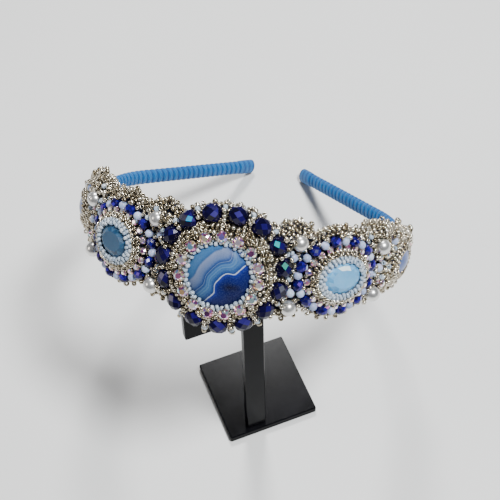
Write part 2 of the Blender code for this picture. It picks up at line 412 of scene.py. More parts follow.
def rainbow_finish(name, stops, metallic, glow):
    """Cut crystal; each facet's tone picks the coat's colour, and every facet glows as painted light:
    faintly in its own colour, the top tones white-gold as painted glints.
    """
    f = Finish(name, IOR=1.6, Coat_Weight=0.25, Coat_Roughness=0.03, Specular_IOR_Level=0.5)
    cloud = f.noise(f.object_place(), 700.0, 2.0)
    colour = f.ramp((f.tone() + cloud * 0.10 - 0.05).bounded(), stops)
    # Painted glint: tones above 0.92 glow white-gold, and every facet glows with a fifth of its
    # colour; glow sets how strong this painted glow is.
    painted_glint_share = ((f.tone() - 0.92) * 20.0).bounded()
    painted_glow_colour = f.mix(0.8, colour, (0.0, 0.0, 0.0, 1.0))
    f.feed(Base_Color=colour, Metallic=metallic, Roughness=0.05 + cloud * 0.08,
           Emission_Color=f.mix(painted_glint_share, painted_glow_colour, (1.0, 0.95, 0.82, 1.0)), Emission_Strength=glow)
    return f.material


CRYSTAL = rainbow_finish("rainbow_crystal_and_painted_glint", (
    (0.0, (0.08, 0.04, 0.12)), (0.10, (0.42, 0.12, 0.36)), (0.20, (0.92, 0.34, 0.54)),
    (0.29, (0.90, 0.74, 0.80)), (0.38, (0.66, 0.62, 0.64)), (0.46, (0.96, 0.56, 0.28)),
    (0.54, (1.0, 0.82, 0.46)), (0.62, (0.88, 0.92, 0.90)), (0.70, (0.34, 0.82, 0.86)),
    (0.77, (0.24, 0.26, 0.80)), (0.84, (0.56, 0.24, 0.76)), (0.92, (1.0, 0.97, 0.92)),
    (1.0, (1.0, 0.90, 0.56))), metallic=0.90, glow=0.6)
print("finishes:", SILVER.name, OPAL.name, CRYSTAL.name)

# %% [markdown]
# The navy beads are dark cobalt glass. Most facets stay nearly black; a few get a
# painted highlight in cobalt, and one or two a painted highlight in the coat's cyan, green or lilac.

# %%
# Navy, cobalt and milky blue glass, and pearls
def dark_glass(name, stops):
    f = Finish(name, IOR=1.5, Coat_Weight=0.0, Specular_IOR_Level=0.35)
    cloud = f.noise(f.object_place(), 350.0, 2.0)
    tone = f.tone()
    f.feed(Base_Color=f.ramp((tone + cloud * 0.08 - 0.04).bounded(), stops),
           Metallic=(tone * 6.0 - 4.6).bounded() * 0.75, Roughness=0.06 + cloud * 0.10)
    return f.material


NAVY_GLASS = dark_glass("navy_glass_coat_and_painted_highlight", (
    (0.0, (0.0010, 0.0006, 0.007)), (0.35, (0.003, 0.0012, 0.028)), (0.6, (0.010, 0.004, 0.095)),
    (0.74, (0.05, 0.04, 0.20)), (0.80, (0.02, 0.28, 0.62)), (0.87, (0.03, 0.62, 0.44)),
    (0.93, (0.20, 0.22, 0.30)), (1.0, (0.32, 0.33, 0.42))))
COBALT_GLASS = dark_glass("cobalt_glass_coat_and_painted_highlight", (
    (0.0, (0.0025, 0.001, 0.022)), (0.35, (0.006, 0.0015, 0.075)), (0.6, (0.016, 0.005, 0.20)),
    (0.76, (0.045, 0.02, 0.38)), (0.84, (0.16, 0.08, 0.42)), (0.92, (0.20, 0.20, 0.50)),
    (1.0, (0.32, 0.34, 0.62))))


MILKY = cloudy("milky_blue_bead", (420.0, 3.0), (0.6, 0.4), (
    (0.0, (0.24, 0.30, 0.50)), (0.5, (0.40, 0.47, 0.70)), (1.0, (0.62, 0.69, 0.88))), (0.14, 0.12),
    IOR=1.5, Specular_IOR_Level=0.35, Subsurface_Weight=0.25, Subsurface_Scale=0.001).material
pearl = cloudy("grey_pearl", (260.0, 4.0), (0.0, 1.0), (
    (0.25, (0.60, 0.58, 0.56)), (0.5, (0.74, 0.73, 0.71)), (0.75, (0.86, 0.86, 0.84))), (0.22, 0.12),
    Metallic=0.85, Coat_Weight=0.2, Coat_Roughness=0.10)
pearl.bump(pearl.noise(pearl.object_place(), 1500.0, 2.0), 0.05, 0.0002)
PEARL = pearl.material
print("finishes:", NAVY_GLASS.name, COBALT_GLASS.name, MILKY.name, PEARL.name)

# %% [markdown]
# ### Leather, thread and acrylic
#
# The ground is navy leather over felt: fine pebbled grain with worn highlights on
# the raised parts. The thread under the bezels is dark, and where a tone of 1 says
# so it is pale felt. The stand is polished black acrylic with faint hair lines.

# %%
# Leather, thread and acrylic finishes
def leather_finish():
    f = Finish("navy_leather", Specular_IOR_Level=0.3)
    place = f.object_place()
    pebble = f.node("ShaderNodeTexVoronoi", {"feature": "SMOOTH_F1"},
                    {"Vector": place, "Scale": 1400.0, "Smoothness": 0.6})
    worn = f.noise(place, 120.0, 5.0, 0.6)
    f.feed(Base_Color=f.ramp((pebble * 0.5 + worn * 0.6).bounded(), (
        (0.2, (0.003, 0.005, 0.020)), (0.6, (0.008, 0.014, 0.050)), (0.95, (0.022, 0.036, 0.10)))),
        Roughness=0.72 - worn * 0.25)
    f.bump(pebble * -1.0 + worn * 0.4, 0.5, 0.0004)
    return f.material


def thread_finish():
    f = Finish("dark_thread", Specular_IOR_Level=0.3)
    place = f.object_place()
    fibre = f.noise(place, 2200.0, 3.0, 0.6)
    dark = f.ramp(fibre, ((0.3, (0.006, 0.010, 0.030)), (0.7, (0.035, 0.055, 0.12))))
    pale = f.ramp(fibre, ((0.3, (0.36, 0.42, 0.50)), (0.7, (0.62, 0.68, 0.74))))
    f.feed(Base_Color=f.mix(f.tone(), dark, pale), Roughness=0.55 + fibre * 0.25)
    f.bump(fibre, 0.5, 0.0003)
    return f.material


def acrylic_finish():
    f = Finish("black_acrylic", IOR=1.4, Specular_IOR_Level=0.05)
    place = f.object_place()
    lines = f.node("ShaderNodeTexWave", {"wave_type": "BANDS", "bands_direction": "DIAGONAL"},
                   {"Vector": place, "Scale": 700.0, "Distortion": 22.0, "Detail": 3.0})
    dust = f.noise(place, 90.0, 6.0, 0.65)
    f.feed(Base_Color=f.ramp(dust, ((0.35, (0.002, 0.002, 0.0025)), (0.8, (0.007, 0.007, 0.009)))),
           Roughness=0.10 + lines * 0.05 + dust * 0.10)
    f.bump(lines, 0.03, 0.0001)
    return f.material


LEATHER, THREAD, ACRYLIC = leather_finish(), thread_finish(), acrylic_finish()
for name in ("stand_foot", "stand_tee"):
    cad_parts[name].data.materials.clear()
    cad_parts[name].data.materials.append(ACRYLIC)
print("finishes:", LEATHER.name, THREAD.name, ACRYLIC.name)

# %% [markdown]
# ## The hoop: cord wound round a band
#
# About 125 turns of cord lie side by side round an oval core. Winding one long
# tube would need far more faces than the eye can see, so the turns are one skin:
# its rows follow the winding's slope, and its radius rises and falls once a turn.
# The first and last turns are glued flat under a smooth cap. The finish then adds
# the cord's own twist and fibres, and painted shade in the grooves between turns.

# %%
# Cord-wrapped hoop
BACK_THICK = 2.4
HOOP_HALF, HOOP_TALL, HOOP_THICK, HOOP_RISE = 208.3, 5.0, 3.1, 4.2
HOOP_OUT = -BACK_THICK - GAP - HOOP_THICK / 2
HOOP_SIDES, CAP, CAP_ROWS = 24, 1.5, 3
TURN_PITCH, TURN_ROWS = 3.3, 14
TURN_LOW, TURN_HIGH = -0.18, 0.36       # the groove and the crest of a turn, past the core
GLUED_TURNS, GLUED_FADE, GLUED_UP = 3.2, 1.2, 0.15
TABLE_GAP = 0.03                        # the ends stop this far above the table


def cord_finish():
    f = Finish("sky_blue_cord", Specular_IOR_Level=0.25)
    around = f.node("ShaderNodeUVMap", {"uv_map": "place"})
    turns = f.node("ShaderNodeSeparateXYZ", None, {0: around}, 0)
    angle = f.node("ShaderNodeSeparateXYZ", None, {0: around}, 1)
    # Painted shade: the colour is darker in the grooves between turns.
    painted_groove_shade = (turns.sum("FRACT", turns) - 0.5) * 2.0
    painted_groove_shade = painted_groove_shade * painted_groove_shade
    twist = (turns * 3.0 + angle * 5.0) * (2 * pi)
    ply = twist.sum("SINE", twist)
    fibre = f.noise(f.object_place(), 2600.0, 3.0, 0.6)
    worn = f.noise(f.object_place(), 60.0, 3.0)
    shade = (ply * 0.07 + fibre * 0.35 + worn * 0.25 - painted_groove_shade * 0.50 + 0.42).bounded()
    f.feed(Base_Color=f.ramp(shade, ((0.0, (0.003, 0.020, 0.10)), (0.3, (0.005, 0.060, 0.22)),
                                     (0.6, (0.007, 0.11, 0.33)), (1.0, (0.020, 0.20, 0.50)))),
           Roughness=0.62 - worn * 0.2)
    f.bump(ply * 0.5 + fibre * 0.7, 0.6, 0.0002)
    return f.material


def build_hoop():
    heap, verts, uv = Heap(), [], []
    turns = int((2 * HOOP_HALF - 2 * CAP) / TURN_PITCH)
    rows = turns * TURN_ROWS
    for i in range(-CAP_ROWS, rows + CAP_ROWS + 1):
        core = min(max(i, 0), rows)
        end = max(-i, i - rows, 0) / CAP_ROWS
        size = sqrt(max(1 - end * end, 0.02))
        phase = core / TURN_ROWS
        from_end = min(phase, turns - phase)
        round_cord = sqrt(max(0.0, 1 - (2 * (phase % 1.0) - 1) ** 2))
        ridge = TURN_LOW + (TURN_HIGH - TURN_LOW) * round_cord
        glued = min(max((GLUED_TURNS - from_end) / GLUED_FADE, 0.0), 1.0)
        ridge += (TURN_HIGH + GLUED_UP - ridge) * glued
        for k in range(HOOP_SIDES):
            t = 2 * pi * k / HOOP_SIDES
            slope = 0.5 * sin(t) * min(1.0, from_end)
            s = -HOOP_HALF + CAP + core * TURN_PITCH / TURN_ROWS + slope
            place = spot(s + (CAP * end if i > 0 else -CAP * end),
                         HOOP_RISE + size * (HOOP_TALL / 2 + ridge) * sin(t),
                         HOOP_OUT + size * (HOOP_THICK / 2 + ridge) * cos(t), 0.0)
            above = (LEAN @ place + FRONT_AT).z - TABLE_GAP
            verts.append(place - LEAN.transposed() @ Vector((0, 0, min(above, 0.0))))
            uv.append((phase, k / HOOP_SIDES))
    heap.add_mesh(verts, skin(rows + 2 * CAP_ROWS + 1, HOOP_SIDES))
    heap.beads = turns
    return finish_piece("cord_wrapped_hoop", heap, cord_finish(), ("hoop",), uv=uv)


build_hoop()

# %% [markdown]
# ## The ground of felt and leather
#
# The beadwork is sewn through felt, then leather is glued behind and the scalloped
# edge is whipped together with thread. From behind this is what one sees, so it
# gets its two layers, a groove between them, and the stitches over the edge.

# %%
# Scalloped ground
# lobes of its outline: (s, z, half length, half height)
LOBES = ((0.0, 0.2, 19.3, 19.3), (21.0, 8.2, 7.6, 8.7), (20.0, -6.4, 7.6, 6.6),
         (37.6, 1.5, 16.0, 14.2), (54.0, 4.0, 10.5, 12.9), (66.0, 3.2, 9.5, 10.8),
         (77.0, 1.6, 12.5, 8.9), (94.0, 3.2, 24.0, 4.4))


def edge(s):
    """(bottom, top) of the ground at s, from the lobes of its outline."""
    top, bottom = 3.0, 1.5
    for centre, z, a, b in LOBES:
        for c in {centre, -centre}:
            q = 1 - ((s - c) / a) ** 2
            if q > 0:
                top = max(top, z + b * sqrt(q))
                bottom = min(bottom, z - b * sqrt(q))
    return bottom, top


# its edge from behind to the front, leather then felt: (inset, h)
GROUND_SECTION = ((0.35, -2.4), (0.0, -2.15), (0.05, -1.35), (0.30, -1.2), (0.05, -1.05),
                  (0.0, -0.25), (0.35, 0.0))
GROUND_STEP = 0.8


def build_ground():
    heap, verts = Heap(), []
    count = int(2 * BACK_HALF / GROUND_STEP)
    for i in range(count + 1):
        s = -BACK_HALF + 2 * BACK_HALF * i / count
        bottom, top = edge(s)
        verts += [spot(s, bottom + inset, h) for inset, h in GROUND_SECTION]
        verts += [spot(s, top - inset, h) for inset, h in reversed(GROUND_SECTION)]
    heap.add_mesh(verts, skin(count + 1, 2 * len(GROUND_SECTION)))
    return finish_piece("leather_ground", heap, LEATHER, ("backing",), sharp=50)


build_ground()

# %%
# Walking along the outline in equal steps
def outline(step, inset=0.0):
    """Places (s, z, way out s, way out z) round the ground's edge: its top, then its bottom."""
    places = []
    for sign in (1, -1):
        walk = []
        s = -BACK_HALF + 2.0
        while s <= BACK_HALF - 2.0:
            walk.append((s, edge(s)[1 if sign > 0 else 0] - sign * inset))
            s += 0.1
        done = [walk[0]]
        for here in walk:
            if hypot(here[0] - done[-1][0], here[1] - done[-1][1]) >= step:
                done.append(here)
        for i, (s, z) in enumerate(done):
            before, after = done[max(i - 1, 0)], done[min(i + 1, len(done) - 1)]
            ds, dz = after[0] - before[0], after[1] - before[1]
            size = hypot(ds, dz) or 1.0
            places.append((s, z, -dz / size * sign, ds / size * sign))
    return places


RIM = outline(1.75)
print("rim stitches:", len(RIM))

# %% [markdown]
# ## Room for every bead
#
# Beads can't pass through each other. A `Crowd` remembers where beads already
# are, in a coarse grid of cells, so that filling in gaps later only adds a seed
# where a real one would fit.

# %%
# Remembering taken places, and rows of seeds
DICE = random.Random(11)
SEED_TILT = 12.0         # degrees that a seed sits askew


class Crowd:
    CELL = 4.0

    def __init__(self):
        self.cells = {}

    def cell(self, p):
        return tuple(int(c // self.CELL) for c in p)

    def take(self, p, r):
        self.cells.setdefault(self.cell(p), []).append((p.copy(), r))

    def free(self, p, r, squeeze=0.86):
        x, y, z = self.cell(p)
        for i in (-1, 0, 1):
            for j in (-1, 0, 1):
                for k in (-1, 0, 1):
                    for q, other in self.cells.get((x + i, y + j, z + k), ()):
                        if (q - p).length < (r + other) * squeeze:
                            return False
        return True


CROWD = Crowd()


def seed_at(heap, place, frame_ways, hole, r, check=True, squeeze=0.86):
    """One seed bead; hole is its axis in (along, up, out). Returns True when it fits."""
    if check and not CROWD.free(place, r, squeeze):
        return False
    loose = [DICE.gauss(0, radians(SEED_TILT)) for _ in range(3)]
    axis = frame_ways @ (Vector(hole).normalized() + Vector(loose))
    size = r * DICE.uniform(0.94, 1.05)
    heap.add(SEED, place, turned(axis, frame_ways @ OUT),
             (size, size, size * DICE.uniform(0.92, 1.12)), DICE.random())
    CROWD.take(place, r)
    return True


def oval_length(a, b):
    return pi * (3 * (a + b) - sqrt((3 * a + b) * (a + 3 * b)))


def even_angles(a, b, count, first=0.0):
    """Angles of count places spaced evenly along an ellipse of half size a, b."""
    steps = 720
    lengths = [0.0]
    for i in range(steps):
        t0, t1 = 2 * pi * i / steps, 2 * pi * (i + 1) / steps
        lengths.append(lengths[-1] + hypot(a * (cos(t1) - cos(t0)), b * (sin(t1) - sin(t0))))
    found, i = [], 0
    for k in range(count):
        want = ((k + first) % count) / count * lengths[-1]
        i = 0 if want < lengths[i] else i
        while lengths[i + 1] < want:
            i += 1
        part = (want - lengths[i]) / (lengths[i + 1] - lengths[i])
        found.append(2 * pi * (i + part) / steps)
    return found


def seed_row(heap, medal, half, h, r, pitch=1.52, first=0.0, bend=0.0, mixed=False, wave=0.0):
    """Seeds round an ellipse. mixed turns some holes across the row or out of it; wave zigzags."""
    a, b = half
    for k, t in enumerate(even_angles(a, b, int(oval_length(a, b) / pitch), first)):
        grow = wave * (k % 2)
        nu, nv = cos(t) / a, sin(t) / b
        n = hypot(nu, nv)
        nu, nv = nu / n, nv / n
        u, v = a * cos(t) + grow * nu, b * sin(t) + grow * nv
        holes = ((-nv, nu, 0), (-nv, nu, 0), (nu, nv, 0.25), (nu * 0.3, nv * 0.3, 1))
        seed_at(heap, medal.place(u, v, h - 0.35 * grow, bend), medal.ways(u, bend),
                DICE.choice(holes) if mixed else holes[0], r, check=False)


# %% [markdown]
# ## The agate
#
# The centre stone is a round banded agate, dyed blue. Its bands are not straight:
# they bulge round a dark heart at the lower right. In the finish the place on the
# stone is turned so that one axis runs along the bands, then a smooth hump is
# taken away from the other, and that single number goes through a colour ramp.

# %%
# Agate finish
ROSE = Medal(-0.25, -1.4)
CAB_R, CAB_SIDE, CAB_TOP = 11.0, 3.4, 8.9
BAND_START, BAND_WAY = (-2.25, -8.0), (0.626, 0.779)
HEART = (4.1, -2.6)


def agate_finish():
    f = Finish("banded_agate", IOR=1.45, Specular_IOR_Level=0.12)
    place = f.node("ShaderNodeUVMap", {"uv_map": "place"})
    u = f.node("ShaderNodeSeparateXYZ", None, {0: place}, 0)
    v = f.node("ShaderNodeSeparateXYZ", None, {0: place}, 1)
    du, dv = u - BAND_START[0], v - BAND_START[1]
    along = du * BAND_WAY[0] + dv * BAND_WAY[1]
    off = dv * BAND_WAY[0] - du * BAND_WAY[1]
    q = (along - 7.7 - off * 0.12) / (off * 0.2 + 3.4)
    q = q * q
    hump = (q * q * -1.0).sum("EXPONENT", q * q * -1.0)
    past = (along - 13.8).sum("MAXIMUM", along - 13.8, 0.0)
    curl = past * past * 0.32 * ((off - 1.6) / 2.4).bounded()
    slow = f.noise(place, 0.28, 2.0)
    fine = f.noise(place, 1.9, 5.0, 0.6)
    field = off - hump * (2.7 - off * 0.12) - curl + (slow - 0.5) * 0.5 + (fine - 0.5) * 0.24
    stops = (
        (-6.0, (0.003, 0.004, 0.060)), (-1.2, (0.004, 0.008, 0.11)), (0.02, (0.010, 0.022, 0.22)),
        (0.20, (0.34, 0.40, 0.55)), (0.38, (0.50, 0.56, 0.68)), (0.52, (0.010, 0.035, 0.16)),
        (1.4, (0.020, 0.070, 0.22)), (2.9, (0.042, 0.130, 0.30)), (3.9, (0.020, 0.07, 0.22)),
        (4.35, (0.010, 0.035, 0.15)), (4.50, (0.14, 0.22, 0.38)), (4.66, (0.008, 0.028, 0.14)),
        (5.0, (0.022, 0.060, 0.20)), (5.9, (0.09, 0.14, 0.28)), (8.1, (0.17, 0.215, 0.35)),
        (8.6, (0.025, 0.090, 0.23)), (9.6, (0.038, 0.13, 0.30)), (14.0, (0.05, 0.15, 0.29)))
    span = stops[-1][0] - stops[0][0]
    bands = f.ramp((field - stops[0][0]) / span,
                   [((value - stops[0][0]) / span, colour) for value, colour in stops])
    lines = (field * 7.6).sum("SINE", field * 7.6)
    banded = ((field - 1.4) * 0.8).bounded() * ((4.4 - field) * 1.5).bounded()
    colour = f.mix((lines * 0.5 + 0.5) * banded * 0.50, bands, (0.11, 0.21, 0.35, 1.0))
    hu, hv = u - HEART[0], v - HEART[1]
    away = hu * hu * 0.35 + hv * hv * 1.1
    away = away.sum("SQRT", away)
    heart = (1.0 - (away + (slow - 0.5) * 1.6 + (fine - 0.5) * 1.2) / 2.2).bounded()
    heart = heart * (field * -1.0 - 0.4).bounded()
    colour = f.mix(heart * 0.95, colour, (0.004, 0.002, 0.008, 1.0))
    cloud = f.noise(place, 2.2, 6.0, 0.72)
    light = f.mix((cloud - 0.46).bounded() * 0.8, colour, (0.16, 0.24, 0.40, 1.0))
    f.feed(Base_Color=f.mix((0.46 - cloud).bounded() * 2.2, light, (0.004, 0.016, 0.060, 1.0)),
           Roughness=0.30 + fine * 0.12)
    return f.material


def dome(heap, medal, half, base, side, top, rings=22, sides=72):
    """A smooth cabochon: straight wall up to side, then a round dome. Returns its (u, v) points."""
    rows = [(half[0], half[1], base)]
    for i in range(rings):
        t = (pi / 2) * i / rings
        rows.append((half[0] * cos(t), half[1] * cos(t), side + (top - side) * sin(t)))
    points = [(a * x, b * y, h) for a, b, h in rows for x, y, _ in circle(sides, 1.0, 0.0)]
    heap.add_mesh([medal.place(*point) for point in points], skin(len(rows), sides))
    return [(u, v) for u, v, h in points]


AGATE = Heap()
agate_places = dome(AGATE, ROSE, (CAB_R, CAB_R), GAP, CAB_SIDE, CAB_TOP)
finish_piece("agate_cabochon", AGATE, agate_finish(), ("centre_cabochon",),
             uv=agate_places)

# %% [markdown]
# ## Bezels
#
# A cabochon is held by rows of seeds stitched round it in peyote, where every
# bead sits in the gap of the row before. Under them a core fills the slope. It is
# pale felt next to the stone, where milky seeds let it shine through, and dark
# thread outside, which shows between the silver seeds.

# %%
# Thread cores under the bezels
def ring_core(heap, medal, section, half, pale=0, steps=64):
    """A closed ring: (grow, h, bend) rows round an ellipse; the first pale ones are felt."""
    verts = []
    for x, y, _ in circle(steps, 1.0, 0.0):
        verts += [medal.place((half[0] + grow) * x, (half[1] + grow) * y, h, bend)
                  for grow, h, bend in section]
    tones = [float(k < pale) for k in range(len(section))] * steps
    heap.add_mesh(verts, skin(steps, len(section), closed=True), tones)


CORE_CENTRE = ((1.45, 0.3, 1), (1.45, 3.5, 0), (1.0, 5.0, 0), (0.65, 5.5, 0), (1.1, 5.2, 0),
               (1.5, 4.5, 0), (2.45, 4.3, 0), (2.75, 3.1, 0.3), (2.9, 0.3, 1))
CORE_SIDE = ((1.2, 0.3, 1), (1.2, 3.1, 0), (0.8, 3.7, 0), (0.6, 4.2, 0), (1.0, 4.1, 0),
             (1.7, 3.4, 0), (2.5, 2.5, 0.3), (3.3, 1.4, 0.6), (3.8, 0.3, 1))
CORE_END = ((0.98, 0.3, 1), (0.98, 1.8, 0), (0.7, 2.5, 0), (0.5, 2.9, 0), (1.2, 2.6, 0),
            (2.0, 1.9, 0), (2.9, 1.1, 0.5), (3.6, 0.3, 1))
CORE_R, FELT_ROWS = 9.95, 5
core = Heap()
ring_core(core, ROSE, CORE_CENTRE, (CORE_R, CORE_R), pale=FELT_ROWS)
finish_piece("centre_bezel_core", core, THREAD, ("centre_bezel",), sharp=60)

# %% [markdown]
# ## Stones in cups
#
# The fifteen stones round the agate are small round brilliants in silver cups.
# Each cup holds its stone with four claws and is sewn down through its base. The
# stone's crown has a flat table, then star, kite and girdle facets.

# %%
# A brilliant, its cup and its claws
def brilliant():
    """Table, stars, girdle and a short pavilion, for a girdle radius of about 1."""
    verts = circle(8, 0.50, 0.60) + circle(8, 0.75, 0.43, 0.5) + circle(16, 0.97, 0.14) \
        + circle(16, 0.97, 0.02) + circle(8, 0.35, -0.62)
    table, star, girdle, low, keel = 0, 8, 16, 32, 48
    faces = [tuple(range(8))]
    for k in range(8):
        n, before = (k + 1) % 8, (k - 1) % 8
        faces.append((table + k, star + k, table + n))
        faces.append((table + k, star + before, girdle + 2 * k, star + k))
        faces.append((star + k, girdle + 2 * k, girdle + 2 * k + 1))
        faces.append((star + k, girdle + 2 * k + 1, girdle + (2 * k + 2) % 16))
        faces.append((low + 2 * k, low + 2 * k + 1, keel + k))
        faces.append((low + 2 * k + 1, low + (2 * k + 2) % 16, keel + n, keel + k))
    faces += [(girdle + j, low + j, low + (j + 1) % 16, girdle + (j + 1) % 16) for j in range(16)]
    faces.append(tuple(keel + k for k in range(8))[::-1])
    return verts, faces


def cup(claws=4):
    """Silver cup with bent claws, for a stone of radius 1."""
    verts, faces = lathe(((0.45, -0.98), (0.86, -0.86), (1.02, -0.30), (1.06, 0.0), (1.03, 0.09),
                          (0.98, 0.02), (0.94, -0.30)), 16)
    for k in range(claws):
        t = 2 * pi * (k + 0.5) / claws
        start = len(verts)
        for r, z, half in ((1.00, -0.5, 0.24), (1.10, -0.1, 0.22), (1.06, 0.26, 0.17),
                           (0.80, 0.47, 0.09)):
            for thick in (0.0, 0.11):
                for side in (-1, 1):
                    x, y = r + thick * (1 if z < 0.2 else 0.6), side * half
                    verts.append((x * cos(t) - y * sin(t), x * sin(t) + y * cos(t),
                                  z + (thick * 0.9 if z > 0.2 else 0)))
        for j in range(3):
            a, b = start + 4 * j, start + 4 * j + 4
            faces += [(a, a + 1, b + 1, b), (a + 2, b + 2, b + 3, a + 3),
                      (a, b, b + 2, a + 2), (a + 1, a + 3, b + 3, b + 1)]
        faces += [(start, start + 2, start + 3, start + 1),
                  (start + 12, start + 13, start + 15, start + 14)]
    return verts, faces


BRILLIANT, CUP = brilliant(), cup()


def facet_tones(shape, painted_flash):
    """Random tones for one stone; the second argument is the chance that its table gets a painted
    glint tone.
    """
    tones = [DICE.random() for _ in shape[1]]
    if DICE.random() < painted_flash:
        tones[0] = DICE.uniform(0.9, 1.0)
    return tones


def set_stone(cups, stones, medal, place, r, lean=0.0, bend=0.0, painted_flash=0.5):
    """A stone in its cup at (u, v, h); lean tips it out from the medal's middle, in degrees. The last
    argument is the chance of a painted glint on its table.
    """
    u, v, h = place
    ring, tip = atan2(v, u), radians(lean)
    frame_ways = medal.ways(u, bend)
    radial = frame_ways @ Vector((cos(ring), sin(ring), 0))
    up = (frame_ways @ OUT * cos(tip) + radial * sin(tip)).normalized()
    spin = DICE.uniform(0, pi / 2)
    side = up.cross(radial).normalized()
    x = side.cross(up) * cos(spin) + side * sin(spin)
    axes = Matrix((x, up.cross(x), up)).transposed()
    at = medal.place(u, v, h, bend)
    cups.add(CUP, at, axes, r, DICE.uniform(0.4, 0.9))
    stones.add(BRILLIANT, at, axes, r, facet_tones(BRILLIANT, painted_flash))
    CROWD.take(at, r)


cups, stones = Heap(), Heap()
CHATONS, CHATON_RING, CHATON_H, CHATON_R, CHATON_TURN = 15, 12.5, 6.6, 1.9, -2.7
for k in range(CHATONS):
    t = radians(CHATON_TURN + 360 / CHATONS * k)
    place = (CHATON_RING * cos(t), CHATON_RING * sin(t), CHATON_H)
    set_stone(cups, stones, ROSE, place, CHATON_R, lean=9.0, painted_flash=0.45)
finish_piece("centre_stone_cups", cups, SILVER, sharp=35)
finish_piece("centre_ring_stones", stones, CRYSTAL, ("centre_chatons",), smooth=False)

# %% [markdown]
# ## Navy beads round the rosette
#
# Fifteen fire-polished beads stand round the rosette with their holes along the
# ring. Each has rows of cut facets. The facets that look most towards one way, out
# of the front, get bright tones as a painted highlight in the coat's colours on two or three.

# %%
# Navy beads
NAVY, NAVY_RING, NAVY_R, NAVY_TURN = 15, 18.0, 3.0, 10.05
FACET_R = 1.03           # facets lie inside a bead's round outline, so it is made larger
# tone of each bead's painted highlight facet, from the right side round over the top
NAVY_PAINTED_HIGHLIGHT = (0.88, 0.84, 0.70, 0.66, 0.72, 0.81, 0.58, 0.86, 0.45, 0.45, 0.60, 0.50, 0.66,
              0.95, 0.97)
# Facets facing this way get the painted highlight: out of the front, a little to the right.
PAINTED_HIGHLIGHT_WAY = Vector((0.24, -0.93, 0.28)).normalized()     # out of the front, a little to the right
navy = Heap()


def cut_tones(axes, out, low=0.0, high=0.5, painted_flash=None):
    """Dark tones for all facets, and painted highlight tones for the three that look most along out;
    the last argument, if given, is the brightest one's tone.
    """
    verts, faces = CUT_BEAD
    tones = [DICE.uniform(low, high) for _ in faces]
    facing = []
    for i, face in enumerate(faces):
        a, b, c = (Vector(verts[j]) for j in face[:3])
        normal = axes @ (b - a).cross(c - a).normalized()
        middle = axes @ ((a + b + c) / 3)
        if normal.dot(middle) < 0:
            normal = -normal
        facing.append((normal.dot(out) + DICE.uniform(-0.04, 0.04), i))
    facing.sort(reverse=True)
    tones[facing[0][1]] = DICE.uniform(0.74, 0.98) if painted_flash is None else painted_flash
    tones[facing[1][1]] = DICE.uniform(0.45, 0.76)
    tones[facing[2][1]] = DICE.uniform(0.45, 0.66)
    return tones


for k in range(NAVY):
    t = radians(NAVY_TURN + 360 / NAVY * k)
    s, z = NAVY_RING * cos(t), NAVY_RING * sin(t)
    frame_ways = ways(s, 0.0)
    axes = turned(frame_ways @ Vector((-sin(t), cos(t), 0)), frame_ways @ OUT)
    at = spot(s, z, GAP + NAVY_R)
    tones = cut_tones(axes, PAINTED_HIGHLIGHT_WAY, painted_flash=NAVY_PAINTED_HIGHLIGHT[k])
    navy.add(CUT_BEAD, at, axes, NAVY_R * FACET_R, tones)
    CROWD.take(at, NAVY_R)
finish_piece("navy_cut_beads", navy, NAVY_GLASS,
             tuple("navy_bead_%02d" % (k + 1) for k in range(NAVY)), smooth=False)

# %% [markdown]
# ## Rows of seeds round the agate
#
# Two rows of milky opal seeds grip the stone. Small silver seeds stand between
# the cups, on their inner and outer side. Then silver rows run down the slope to
# the navy beads. The stone ring is sewn a little low, so more of these rows show
# above it than below, where the crowd leaves no room for them.

# %%
# Seeds of the rosette
SEED_R, SEED_BIG, TIGHT = 0.83, 1.0, 0.66      # TIGHT lets sewn seeds press on each other
opal, silver = Heap(), Heap()
seed_row(opal, ROSE, (10.2, 10.2), 6.4, 0.80, wave=0.4)
seed_row(opal, ROSE, (11.1, 11.1), 5.7, 0.78, first=0.5, wave=0.3)
for k in range(CHATONS):
    t = radians(CHATON_TURN + 360 / CHATONS * (k + 0.5))
    for r, h, size in ((10.75, 7.05, 0.84), (12.3, 6.3, 0.80), (13.8, 5.9, 0.84)):
        turn = t + radians(DICE.uniform(-1.5, 1.5))
        seed_at(silver, ROSE.place(r * cos(turn), r * sin(turn), h), ROSE.ways(),
                (cos(turn), sin(turn), DICE.choice((-0.3, 0.3, 1.6))), size, squeeze=TIGHT)


def slope_rows():
    """Silver rows between the cups and the navy beads, in two layers."""
    for w, h in ((0.0, 5.6), (0.5, 4.9), (1.0, 4.3)):
        r = 14.6 + w
        for t in even_angles(r, r, int(2 * pi * r / 1.5), 0.5 * (w == 0.5)):
            along, across = (-sin(t), cos(t)), (cos(t), sin(t))
            inner = (ROSE.s + 14.5 * cos(t), ROSE.z + 14.5 * sin(t))
            outer = (15.5 * cos(t), 15.5 * sin(t))
            s, z = (inner[i] + (outer[i] - inner[i]) * w for i in (0, 1))
            hole = DICE.choice(((*along, 0), (*along, 0.5), (*across, 0.8)))
            for layer in (h, h - 1.6):
                seed_at(silver, spot(s, z, layer), ways(s), hole, SEED_R, squeeze=0.80)


